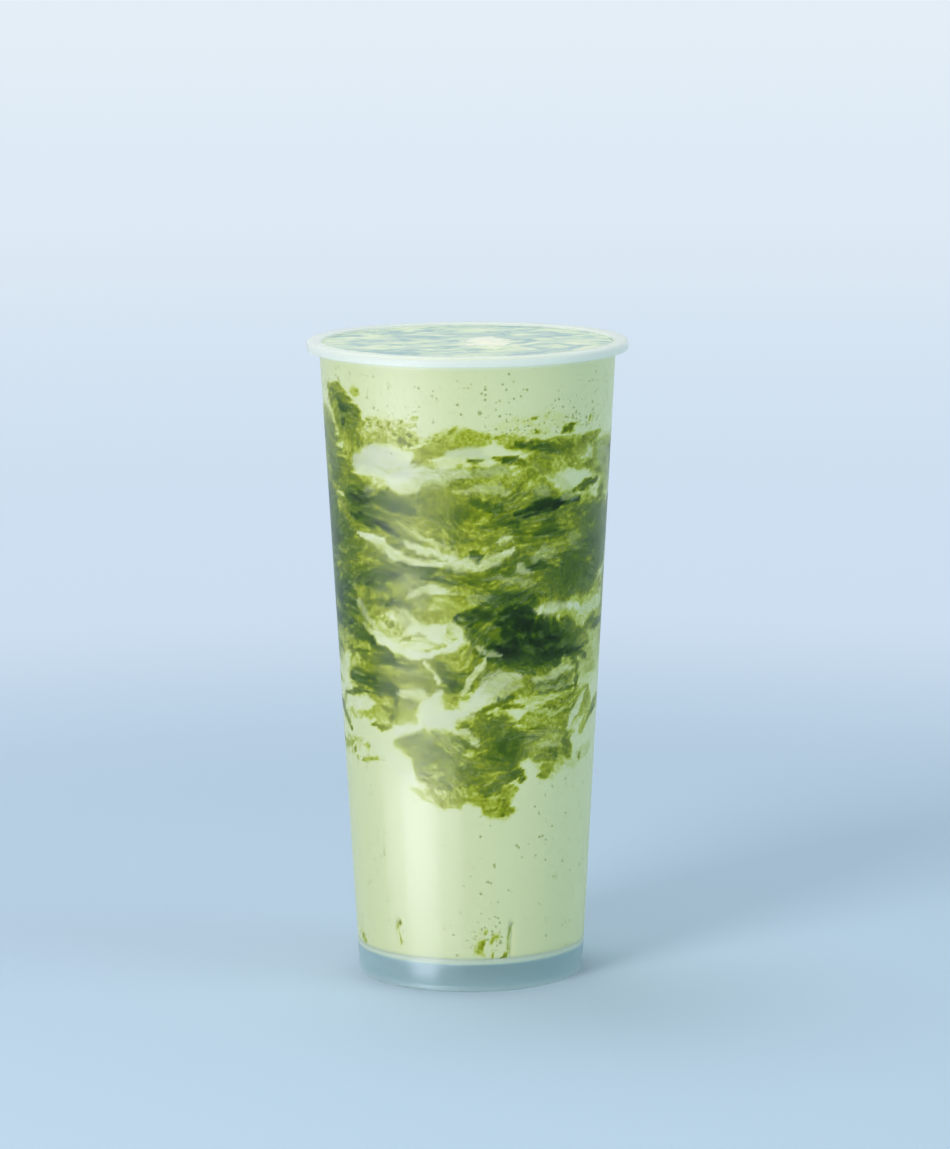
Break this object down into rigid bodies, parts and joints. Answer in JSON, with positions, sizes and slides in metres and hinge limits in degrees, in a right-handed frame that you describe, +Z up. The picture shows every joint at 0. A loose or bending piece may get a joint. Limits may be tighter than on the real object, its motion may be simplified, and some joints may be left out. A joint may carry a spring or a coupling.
{
  "type": "green smoothie in a takeaway cup",
  "caption": "Tall tapered clear plastic cup with a lipped rim and a foot skirt, filled to the brim with a blended green drink with a stirred, rippled top.",
  "frame": {"origin": "centre of the foot ring, on the surface that the cup stands on", "axes": "+Z up along the cup's axis; -Y towards the viewer, the side with the widest dark green marbling; +X to the viewer's right"},
  "size_m": [0.09, 0.09, 0.18],
  "materials": {
    "cup_plastic": "clear, slightly milky polypropylene with a satin gloss",
    "green_drink": "wet pale green blend with dark green and cream marbling"
  },
  "bodies": {
    "root": {"cup": "cup_plastic", "drink": "green_drink"}
  },
  "joints": []
}
